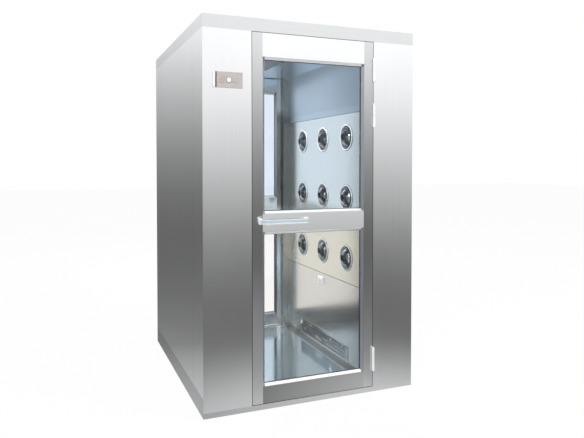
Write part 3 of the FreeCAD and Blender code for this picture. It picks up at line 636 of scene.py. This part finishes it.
def slot_lines(length, border, count, bar):
    """Edges of the slots along one side: each pitch is one slot and one bar, inside two borders."""
    pitch = (length - 2 * border + bar) / count
    starts = border + np.arange(count) * pitch
    edges = np.stack([starts, starts + pitch - bar], axis=1).ravel()
    return np.concatenate([[0.0], edges, [length]])


def slotted_plate(length, height, thickness, border, columns, rows, bar):
    """Flat plate on a grid of slot edges. A cell is open where both its counts are odd. A filled
    cell has a face on each side, and a wall where it meets an open one."""
    across = slot_lines(length, border, columns, bar)
    up = slot_lines(height, border, rows, bar)
    place = np.stack(np.meshgrid(across, up, indexing="ij"), axis=-1).reshape(-1, 2)
    front = np.column_stack([place, np.zeros(len(place))])
    back = np.column_stack([place, np.full(len(place), thickness)])
    index = np.arange(len(place)).reshape(len(across), len(up))
    filled = np.ones((len(across) - 1, len(up) - 1), dtype=bool)
    filled[1::2, 1::2] = False
    i, j = np.nonzero(filled)
    cells = np.stack([index[i, j], index[i + 1, j], index[i + 1, j + 1], index[i, j + 1]], axis=1)
    around = np.pad(filled, 1)
    i, j = np.nonzero(np.diff(around[:, 1:-1], axis=0))
    upright = np.stack([index[i, j], index[i, j + 1]], axis=1)
    i, j = np.nonzero(np.diff(around[1:-1], axis=1))
    level = np.stack([index[i, j], index[i + 1, j]], axis=1)
    edges = np.concatenate([upright, level])
    walls = np.column_stack([edges, edges[:, ::-1] + len(place)])
    return np.concatenate([front, back]), np.concatenate([cells, cells + len(place), walls])


def placed(shape, origin, across, up, out):
    """Shape carried from (across, up, out) to three directions at an origin."""
    return shape[0] @ np.array([across, up, out], float) + np.array(origin, float), shape[1]


def screw_profile(radius, rise):
    """Low pan head as (height, radius): a flat back, a steep side and a rounded crown."""
    angle = np.linspace(0, math.pi / 2, 6)
    crown = np.stack([rise * (0.4 + 0.6 * np.sin(angle)), radius * np.cos(angle)], axis=1)
    return np.concatenate([[[0.0, 0.0], [0.0, radius]], crown])


def add_screws(name, places, axis):
    """Small pan-head screws at each place, all facing along one axis."""
    heads = turned(screw_profile(screw_radius, screw_rise), screw_facets, axis, places)
    add_piece(name, heads, screw_steel, "cabinet")


def dished_highlight_zones(tree, place):
    """Face of a punched plate: dished here and there by the punch, so that it leans upward. Its
    tone is a painted highlight, full on the dished spots and lower between them and on the borders.
    """
    dish = scaled(tree, noise_at(tree, place, dish_grain, 1.0), *dish_levels)
    height = split(tree, place)["Z"]
    for levels in (dish_bottom, dish_top):
        dish = calculated(tree, "MINIMUM", dish, scaled(tree, height, *levels))
    return (calculated(tree, "MAXIMUM", dish, off_highlight_share),
            calculated(tree, "MULTIPLY", dish, dish_lean))


def filter_cloth(name, tone):
    """Non-woven filter pad: a felted surface with a soft cloudy tone."""
    mat, tree, shader, place = plain_material(name)
    fibres = noise_at(tree, place, (420, 420, 420), 6.0, 0.7)
    feed(shader, "Base Color", clouded(tree, noise_at(tree, place, (30, 30, 30), 3.0), tone, 0.86))
    feed(shader, "Roughness", 0.95)
    feed(shader, "Normal", bumped(tree, fibres, 0.6, 0.0008))
    return mat


grille_steel = brushed_steel("grille_steel", (0.86, 0.87, 0.87), level_grain_y, 0.16,
                             zones=dished_highlight_zones)
screw_steel = brushed_steel("screw_steel", (0.80, 0.81, 0.82), turned_grain, 0.24)
for side, sign in sides.items():
    plate = slotted_plate(grille_length, grille_height, grille_thickness, grille_border,
                          slot_columns, slot_rows, bar_width)
    plate = placed(plate, (sign * wall_face, -grille_length / 2, grille_bottom),
                   (0, 1, 0), (0, 0, 1), (-sign, 0, 0))
    grille = add_piece("return_grille_%s_punched" % side, plate, grille_steel, "cabinet")
    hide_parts("return_grille_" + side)
    places = [(sign * (wall_face - grille_thickness), y, grille_bottom + z)
              for y in grille_screw_ends for z in grille_screw_heights]
    add_screws("grille_screws_" + side, places, (-sign, 0, 0))
dress(filter_cloth("pad_cloth", (0.86, 0.88, 0.88)), "prefilters", "hepa_filters")


# Ceiling and its lamp: a brushed ceiling sheet with an enamelled tray let into it, closed by an
# opal diffuser that is unlit here and held by screws through its lip.
diffuser_length = 0.872
diffuser_width = 0.140
diffuser_rise = 0.0035
lamp_face = 2.054
lamp_screw_sides = (-0.0845, 0.0845)
lamp_screw_ends = (-0.44, -0.15, 0.15, 0.44)
pillow_facets = 64
square_power = 24.0


def lamp_enamel():
    """Pale grey stove enamel with a faint orange-peel face."""
    mat, tree, shader, place = plain_material("lamp_enamel")
    peel = noise_at(tree, place, (260, 260, 260), 2.0)
    feed(shader, "Base Color",
         blend(tree, between(tree, peel), (0.44, 0.50, 0.56), (0.50, 0.56, 0.62)))
    feed(shader, "Roughness", 0.35)
    feed(shader, "Normal", bumped(tree, peel, 0.15, 0.0003))
    return mat


def opal_plastic():
    """Opal acrylic, unlit, slightly clouded."""
    mat, tree, shader, place = plain_material("opal_diffuser")
    clouds = noise_at(tree, place, (3, 3, 3), 2.0)
    feed(shader, "Base Color",
         blend(tree, between(tree, clouds), (0.42, 0.50, 0.58), (0.47, 0.55, 0.62)))
    feed(shader, "Roughness", 0.45)
    return mat


def superellipse(width, height, power, facets):
    """Outline as (across, up): cosine and sine at even angles, each raised to two over a power."""
    angle = np.arange(facets) * 2 * math.pi / facets
    cosine, sine = np.cos(angle), np.sin(angle)
    return (np.sign(cosine) * np.abs(cosine) ** (2 / power) * width / 2,
            np.sign(sine) * np.abs(sine) ** (2 / power) * height / 2)


def pillow(width, height, rise, power, edge=0.12):
    """Low cushion-shaped plate as (across, up, out). Its outline is a superellipse; going out from
    the middle, its height stays full and then falls along a quarter circle within the edge."""
    across, up = superellipse(width, height, power, pillow_facets)
    fall = np.linspace(0, math.pi / 2, 6)
    inset = edge * min(width, height) / max(width, height)
    shares = np.concatenate([[0.0, 0.5], 1 - (1 - np.sin(fall)) * inset, [1.0, 0.0]])
    heights = np.concatenate([[1.0, 1.0], np.cos(fall) * 0.75 + 0.25, [0.0, 0.0]]) * rise
    points = np.stack([np.outer(shares, across), np.outer(shares, up),
                       np.outer(heights, np.ones(pillow_facets))], axis=-1)
    return points, grid_faces(len(shares), pillow_facets, False, True)


dress(brushed_steel("ceiling_steel", (0.69, 0.82, 0.92), level_grain_y, 0.24), "ceiling_panel")
dress(lamp_enamel(), "ceiling_light")
diffuser = placed(pillow(diffuser_width, diffuser_length, diffuser_rise, square_power),
                  (0, 0, lamp_face), (1, 0, 0), (0, 1, 0), (0, 0, -1))
add_piece("ceiling_light_diffuser", diffuser, opal_plastic(), "cabinet")
places = [(x, y, lamp_face) for x in lamp_screw_sides for y in lamp_screw_ends]
add_screws("ceiling_light_screws", places, (0, 0, -1))


# Sill ends: steel plates welded into the open ends of the front and rear sill tubes and ground
# flush.
sill_end = (0.6484, 0.710, 0.015)
sill_plate = (0.076, 0.027, 0.0015)
for side, sign in sides.items():
    plates = [placed(pillow(*sill_plate, square_power), (sign * sill_end[0], y, sill_end[2]),
                     (0, 1, 0), (0, 0, 1), (sign, 0, 0))
              for y in (-sill_end[1], sill_end[1])]
    add_piece("sill_end_plates_" + side, joined(plates), base_steel, "cabinet")


# Blowers behind the walls: galvanised scroll housings on galvanised decks, bare aluminium fan
# wheels and painted motors. They show only when a panel is off.
def galvanised(name, tone):
    """Zinc-coated sheet: flat crystals of slightly different grey."""
    mat, tree, shader, place = plain_material(name)
    crystals = make(tree, "TexVoronoi", {"Vector": place, "Scale": 70.0}).outputs["Color"]
    grey = make(tree, "SeparateColor", {"Color": crystals}).outputs
    feed(shader, "Base Color", blend(tree, grey["Red"], [c * 0.82 for c in tone], tone))
    feed(shader, "Metallic", 0.8)
    feed(shader, "Roughness", between(tree, grey["Green"], 0.36, 0.5))
    return mat


def hammer_paint(name, tone):
    """Thick machine paint with a fine pebbled face."""
    mat, tree, shader, place = plain_material(name)
    pebbles = noise_at(tree, place, (190, 190, 190), 2.0)
    feed(shader, "Base Color", clouded(tree, pebbles, tone, 0.8))
    feed(shader, "Roughness", 0.42)
    feed(shader, "Normal", bumped(tree, pebbles, 0.35, 0.0005))
    return mat


dress(galvanised("zinc_sheet", (0.62, 0.64, 0.66)), "blower_decks", "blower_housings",
      "control_box")
dress(brushed_steel("wheel_aluminium", (0.72, 0.73, 0.74), turned_grain, 0.40),
      "impeller_left", "impeller_right")
dress(hammer_paint("motor_paint", (0.055, 0.060, 0.065)), "blower_motors")


# Door surrounds, seals and interlock magnets: a welded stainless channel that each leaf closes on,
# an extruded rubber seal round it, and a holding magnet at the head with its plate on the leaf.
looks_height = 2.15
surround_reflection_looks = [(0.05, 0.80), (0.90, 0.72), (1.04, 0.24), (1.72, 0.24), (1.80, 0.55)]


def look_at(tree, height, looks, interpolation="LINEAR"):
    """Ramp over the height, from rows of (level, share) or (level, share, lean). Its red is a
    share of the tone, and its green is half plus a lean of the face."""
    rows = [(look[0] / looks_height, (look[1], 0.5 + sum(look[2:]), 0)) for look in looks]
    return ramp(tree, scaled(tree, height, 0.0, looks_height), rows, interpolation)


def red_and_green(tree, colour):
    """The two numbers that a look carries."""
    parts = make(tree, "SeparateColor", {"Color": colour}).outputs
    return parts["Red"], parts["Green"]


def surround_zones(tree, place):
    """Share of the tone: a painted reflection on the channel of the dark wall ends beside the upper
    pane.
    """
    look = look_at(tree, split(tree, place)["Z"], surround_reflection_looks)
    return red_and_green(tree, look)[0], None


dress(brushed_steel("surround_steel", (0.79, 0.80, 0.78), upright_grain, 0.27,
                    zones=surround_zones), "front_surround", "rear_surround")
dress(seal_rubber("seal_rubber"), "door_seals")
dress(brushed_steel("magnet_metal", (0.66, 0.67, 0.68), level_grain_x, 0.36), "door_magnets")
dress(brushed_steel("armature_metal", (0.58, 0.59, 0.60), level_grain_x, 0.30),
      "front_armature", "rear_armature")


# Door leaves: box sections welded into a frame round two panes, their welds ground flush. The skins
# lean by a hair, which moves what they mirror: down on the stiles and up on the middle rail.
rail_half = 0.315
weld_half = 0.0006
skin_plane = 0.735
stile_share = 0.90
stile_bow = [
    (0.09, 0.05), (0.26, -0.015), (0.42, -0.088), (0.59, -0.150), (0.75, -0.18), (0.92, -0.115),
    (1.08, -0.085), (1.41, -0.073), (1.74, -0.058), (2.07, -0.045),
]
rail_looks = [(0.00, 0.52, -0.03), (0.65, 1.0, 0.052), (1.72, 1.0, 0.015)]
inner_looks = [(0.05, 1.0), (0.94, 1.0), (1.04, 0.22), (1.74, 0.22), (1.82, 0.8)]
low_levels = (0.130, 0.124)
low_start = 0.74
low_gain = 0.74


def within(tree, where, share):
    """One, or the share at the places where a number is 1."""
    return make(tree, "Mix", {"Factor": where, "A": 1.0, "B": share}).outputs["Result"]


def leaf_zones(tree, place):
    """Share of the tone and lean of the face: a bow up the stiles, one pair on each rail. The
    shares are a painted reflection: the stiles a little dimmer than the rails, dimmer still on
    their inner side, most beside the upper pane, and the bottom rail dim, growing paler toward the
    right."""
    parts = split(tree, place)
    reach = calculated(tree, "ABSOLUTE", parts["X"])
    beside = scaled(tree, reach, rail_half - weld_half, rail_half + weld_half)
    stiles = [(level, stile_share, lean) for level, lean in stile_bow]
    look = blend(tree, beside, look_at(tree, parts["Z"], rail_looks, "CONSTANT"),
                 look_at(tree, parts["Z"], stiles))
    share, half_and_lean = red_and_green(tree, look)
    depth = calculated(tree, "ABSOLUTE", parts["Y"])
    inside = scaled(tree, depth, skin_plane + weld_half, skin_plane - weld_half)
    inner = red_and_green(tree, look_at(tree, parts["Z"], inner_looks))[0]
    dim = within(tree, calculated(tree, "MULTIPLY", inside, beside), inner)
    across = scaled(tree, parts["X"], -rail_half, rail_half)
    gain = calculated(tree, "MULTIPLY_ADD", across, low_gain, low_start)
    below = scaled(tree, parts["Z"], *low_levels)
    low = within(tree, calculated(tree, "SUBTRACT", below, beside), gain)
    share = calculated(tree, "MULTIPLY", calculated(tree, "MULTIPLY", share, dim), low)
    return share, calculated(tree, "SUBTRACT", half_and_lean, 0.5)


dress(brushed_steel("leaf_steel", (0.96, 0.96, 0.96), upright_grain, 0.18, zones=leaf_zones),
      "front_door_leaf", "rear_door_leaf")


# Glazing: toughened glass held by bevelled and polished aluminium beads from both sides, on a thin
# black gasket. The upper panes carry a faint blue coating.
doors = {"front": -1, "rear": 1}
bead_upright = 0.3005
bead_shade = (0.35, 0.36, 0.40)
bead_top = 1.9290
bead_lean = 1.00
pane_levels = [(0.128, 0.985), (1.085, 1.945)]
glass_faces = [(0.731, 1), (0.723, -1)]
gasket_inset = 0.0138
gasket_width = 0.0024
gasket_rise = 0.0012
gasket_sink = 0.0002
glass_index = 1.34


def bead_zones(tree, place):
    """Share of the tone: less on the upright beads, a painted reflection of the darker sides of the
    room. The beads under the top rail lean upward."""
    parts = split(tree, place)
    reach = calculated(tree, "ABSOLUTE", parts["X"])
    level = scaled(tree, reach, bead_upright + weld_half, bead_upright - weld_half)
    top = scaled(tree, parts["Z"], bead_top - weld_half, bead_top + weld_half)
    return (blend(tree, level, bead_shade, white_tone),
            calculated(tree, "MULTIPLY", top, bead_lean))


def frame_strip(half, low, high, profile):
    """Strip carried round an upright rectangle with mitred corners. A profile point is (distance
    in, y), and each corner moves in by that distance both ways."""
    corners = [(-half, low, -1, -1), (half, low, 1, -1), (half, high, 1, 1), (-half, high, -1, 1)]
    points = np.array([[(x - right * inset, y, z - up * inset) for inset, y in profile]
                       for x, z, right, up in corners])
    return points, grid_faces(4, len(profile), True, True)


def toughened_glass(name, tone):
    """Clear glass with a faint cast and a trace of wiped film."""
    mat, tree, shader, place = plain_material(name)
    film = noise_at(tree, place, (3.0, 3.0, 2.0), 5.0)
    feed(shader, "Base Color", clouded(tree, film, tone, 0.985))
    feed(shader, "Transmission Weight", 1.0)
    feed(shader, "IOR", glass_index)
    feed(shader, "Roughness", between(tree, film, 0.0, 0.02))
    return mat


dress(brushed_steel("bead_metal", (0.98, 0.985, 0.99), upright_grain, 0.14, zones=bead_zones,
                    metal=0.6), "front_glazing_beads", "rear_glazing_beads")
gasket_black = seal_rubber("gasket_black")
for door, sign in doors.items():
    strips = []
    for low, high in pane_levels:
        for face, outward in glass_faces:
            near = sign * (face - outward * gasket_sink)
            far = sign * (face + outward * gasket_rise)
            profile = [(gasket_inset, near), (gasket_inset, far),
                       (gasket_inset + gasket_width * 0.6, far),
                       (gasket_inset + gasket_width, near)]
            strips.append(frame_strip(rail_half, low, high, profile))
    add_piece(door + "_glazing_gaskets", joined(strips), gasket_black, door + "_door")
dress(toughened_glass("upper_glass", (0.92, 0.965, 1.0)), "front_upper_glass")
dress(toughened_glass("lower_glass", (1.0, 1.0, 0.99)), "front_lower_glass", "rear_lower_glass")
dress(toughened_glass("rear_upper_glass", (0.845, 0.895, 0.98)), "rear_upper_glass")


# Pull handles: a flattened bar bent into a low bow, its edges rounded, with a small foot under
# each end that is screwed through the middle rail. Its tone carries a painted reflection: blue-grey
# on the face and white along the rounded edge.
handle_ends = (-0.328, -0.057)
handle_height = 1.043
handle_out = 0.803
door_face = 0.750
bend_radius = 0.026
bar_height = 0.028
bar_depth = 0.014
bar_power = 5.0
bar_facets = 40
foot_size = (0.024, 0.036, 0.003)
edge_height = 0.0100
leg_depth = 0.788
edge_half = 0.001
face_reflection_tone = (0.60, 0.70, 0.75)


def bar_painted_reflection():
    """Stainless with a painted reflection: a satin blue-grey face, and white along the rounded edge
    of its underside and legs.
    """
    mat, tree, shader, place = plain_material("bar_painted_reflection")
    parts = split(tree, place)
    start = handle_height - bar_height / 2 + edge_height
    above = scaled(tree, parts["Z"], start - edge_half, start + edge_half)
    depth = calculated(tree, "ABSOLUTE", parts["Y"])
    outer = scaled(tree, depth, leg_depth - edge_half, leg_depth + edge_half)
    marks = noise_at(tree, place, (12, 900, 900), 3.0)
    face = clouded(tree, marks, face_reflection_tone, 0.96)
    on_face = calculated(tree, "MINIMUM", above, outer)
    feed(shader, "Base Color", blend(tree, on_face, white_tone, face))
    feed(shader, "Metallic", 0.4)
    feed(shader, "Roughness", between(tree, between(tree, marks), 0.16, 0.24))
    return mat


def bow_path():
    """Centre line of the handle as (x, y), all y positive: out, a quarter turn, along, a quarter
    turn and back in, with the turns at even angles."""
    left, right = handle_ends
    turn = np.linspace(0, math.pi / 2, 12)
    first = np.stack([left + bend_radius * (1 - np.cos(turn)),
                      handle_out - bend_radius * (1 - np.sin(turn))], axis=1)
    second = first[::-1] * (-1, 1) + (left + right, 0)
    return np.concatenate([[[left, door_face]], first, second, [[right, door_face]]])


def carried(path, height, depth, level):
    """Rounded-rectangle section carried along a level path, each section square to the path, and
    closed by a point at each end."""
    step = np.gradient(path, axis=0)
    step /= np.linalg.norm(step, axis=1)[:, None]
    side = np.stack([-step[:, 1], step[:, 0]], axis=1)
    across, up = superellipse(depth, height, bar_power, bar_facets)
    size = np.pad(np.ones(len(path)), 1)
    path, side = [np.pad(line, ((1, 1), (0, 0)), "edge") for line in (path, side)]
    points = np.empty((len(path), bar_facets, 3))
    points[..., :2] = path[:, None] + side[:, None] * np.outer(size, across)[..., None]
    points[..., 2] = level + np.outer(size, up)
    return points, grid_faces(len(path), bar_facets, False, True)


handle_chrome = bar_painted_reflection()
for door, sign in doors.items():
    bow = carried(bow_path(), bar_height, bar_depth, handle_height)
    feet = [placed(pillow(*foot_size, bar_power), (x, door_face, handle_height),
                   (1, 0, 0), (0, 0, 1), (0, 1, 0)) for x in handle_ends]
    handle = placed(joined([bow] + feet), (0, 0, 0), (1, 0, 0), (0, sign, 0), (0, 0, 1))
    handle = add_piece(door + "_pull_handle_bow", handle, handle_chrome, door + "_door")
    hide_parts(door + "_pull_handle")


# Hinges: three lift-off hinges to a door, each with two steel knuckles on a pin and a domed tip at
# either end.
hinge_levels = (0.197, 1.644, 1.913)
hinge_height = 0.135
hinge_axis = (0.3765, 0.7585)
tip_radius = 0.0079
tip_rise = 0.0040
tip_facets = 32
hinge_steel = brushed_steel("hinge_steel", (0.94, 0.94, 0.95), level_grain_x, 0.24, wave=0.0,
                            metal=0.35)
dress(hinge_steel, "hinge_jamb_leaves", "hinge_pins", "front_hinge_door_leaves",
      "rear_hinge_door_leaves")
for door, sign in doors.items():
    for end, up, carrier in (("lower", -1, "cabinet"), ("upper", 1, door + "_door")):
        places = [(hinge_axis[0], sign * hinge_axis[1], z + up * hinge_height / 2)
                  for z in hinge_levels]
        tips = turned(screw_profile(tip_radius, tip_rise), tip_facets, (0, 0, up), places)
        add_piece("%s_hinge_tips_%s" % (door, end), tips, hinge_steel, carrier)


# Control plate: a moulded plate with a pale strip and a dark strip along its left edge, painted
# light and shade for a lit side and its shadow, a round white start button in a bezel, and a red
# and a green indicator lens beside it.
plate_centre = (-0.507, 1.807)
plate_face = 0.753
panel_face = 0.750
plate_power = 9.0
button_facets = 48
plate_parts = [
    ("control_lit_edge_strip", -0.0815, 0.0, 0.009, 0.086, 0.0026, (0.92, 0.92, 0.92)),
    ("control_shadow_strip", -0.0695, 0.0, 0.0105, 0.082, 0.0008, (0.22, 0.185, 0.175)),
    ("control_lens_red", -0.0350, 0.001, 0.028, 0.034, 0.0018, (0.47, 0.365, 0.365)),
    ("control_lens_green", 0.0360, 0.001, 0.027, 0.028, 0.0018, (0.40, 0.44, 0.415)),
]
button_profile = [
    (-0.0060, 0.0), (-0.0060, 0.0120), (0.0064, 0.0120), (0.0074, 0.0116), (0.0079, 0.0108),
    (0.0080, 0.0098), (0.0077, 0.0080), (0.0072, 0.0050), (0.0070, 0.0),
]
collar_profile = [
    (0.0030, 0.0130), (0.0044, 0.0132), (0.0050, 0.0140), (0.0048, 0.0154), (0.0040, 0.0164),
    (0.0030, 0.0168), (0.0030, 0.0130),
]


def moulded_plastic(name, tone, roughness, glow=0.0):
    """Moulded plastic: one colour with slight clouding and a fine spark-eroded grain. A glow, where
    one is given, is painted light.
    """
    mat, tree, shader, place = plain_material(name)
    pores = noise_at(tree, place, (380, 380, 380), 2.0)
    clouds = noise_at(tree, place, (14, 14, 14), 3.0)
    colour = clouded(tree, clouds, tone, 0.93)
    feed(shader, "Base Color", colour)
    feed(shader, "Emission Color", colour)
    feed(shader, "Emission Strength", glow)
    feed(shader, "Roughness", between(tree, clouds, roughness - 0.04, roughness + 0.05))
    feed(shader, "Normal", bumped(tree, pores, 0.18, 0.0002))
    return mat


dress(moulded_plastic("plate_plastic", (0.47, 0.42, 0.40), 0.38), "control_plate")
for name, x, z, width, height, rise, tone in plate_parts:
    part = placed(pillow(width, height, rise, plate_power),
                  (plate_centre[0] + x, -plate_face, plate_centre[1] + z),
                  (1, 0, 0), (0, 0, 1), (0, -1, 0))
    add_piece(name, part, moulded_plastic(name, tone, 0.22), "cabinet")
button_place = [(plate_centre[0], -panel_face, plate_centre[1])]
cap = turned(button_profile, button_facets, (0, -1, 0), button_place)
button_white = moulded_plastic("button_white", (0.92, 0.92, 0.92), 0.25)
button = add_piece("start_button_cap", cap, button_white, "start_push")
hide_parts("start_button")
collar = turned(collar_profile, button_facets, (0, -1, 0), button_place)
add_piece("start_button_bezel", collar, moulded_plastic("bezel_grey", (0.34, 0.31, 0.31), 0.3),
          "cabinet")


# Emergency stop: a yellow moulded housing with a red mushroom head, on the left inner wall.
stop_place = [(-0.400, -0.560, 1.200)]
mushroom_profile = [
    (0.0220, 0.0), (0.0220, 0.0100), (0.0360, 0.0100), (0.0362, 0.0182), (0.0368, 0.0194),
    (0.0380, 0.0200), (0.0405, 0.0198), (0.0432, 0.0186), (0.0456, 0.0158), (0.0471, 0.0116),
    (0.0478, 0.0060), (0.0480, 0.0),
]
dress(moulded_plastic("stop_yellow", (0.80, 0.50, 0.02), 0.42), "emergency_stop_box")
head = turned(mushroom_profile, button_facets, (1, 0, 0), stop_place)
stop_red = moulded_plastic("stop_red", (0.62, 0.02, 0.015), 0.26)
mushroom = add_piece("emergency_stop_mushroom", head, stop_red, "stop_push")
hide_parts("emergency_stop_button")


# Presence sensors: small white housings low on each wall, which start the blowers, each with a
# round grey lens in its face. Housing and lens glow faintly, which is painted light.
sensor_place = (0.388, 0.020, 0.525)
sensor_lens = (0.026, 0.026, 0.004)
round_power = 2.0
lens_edge = 0.45
dress(moulded_plastic("sensor_white", (0.94, 0.93, 0.97), 0.36, glow=0.30), "presence_sensors")
lens_grey = moulded_plastic("lens_grey", (0.74, 0.73, 0.78), 0.15, glow=0.20)
for side, sign in sides.items():
    lens = placed(pillow(*sensor_lens, round_power, lens_edge),
                  (sign * sensor_place[0], *sensor_place[1:]),
                  (0, 1, 0), (0, 0, 1), (-sign, 0, 0))
    add_piece("presence_sensor_lens_" + side, lens, lens_grey, "cabinet")
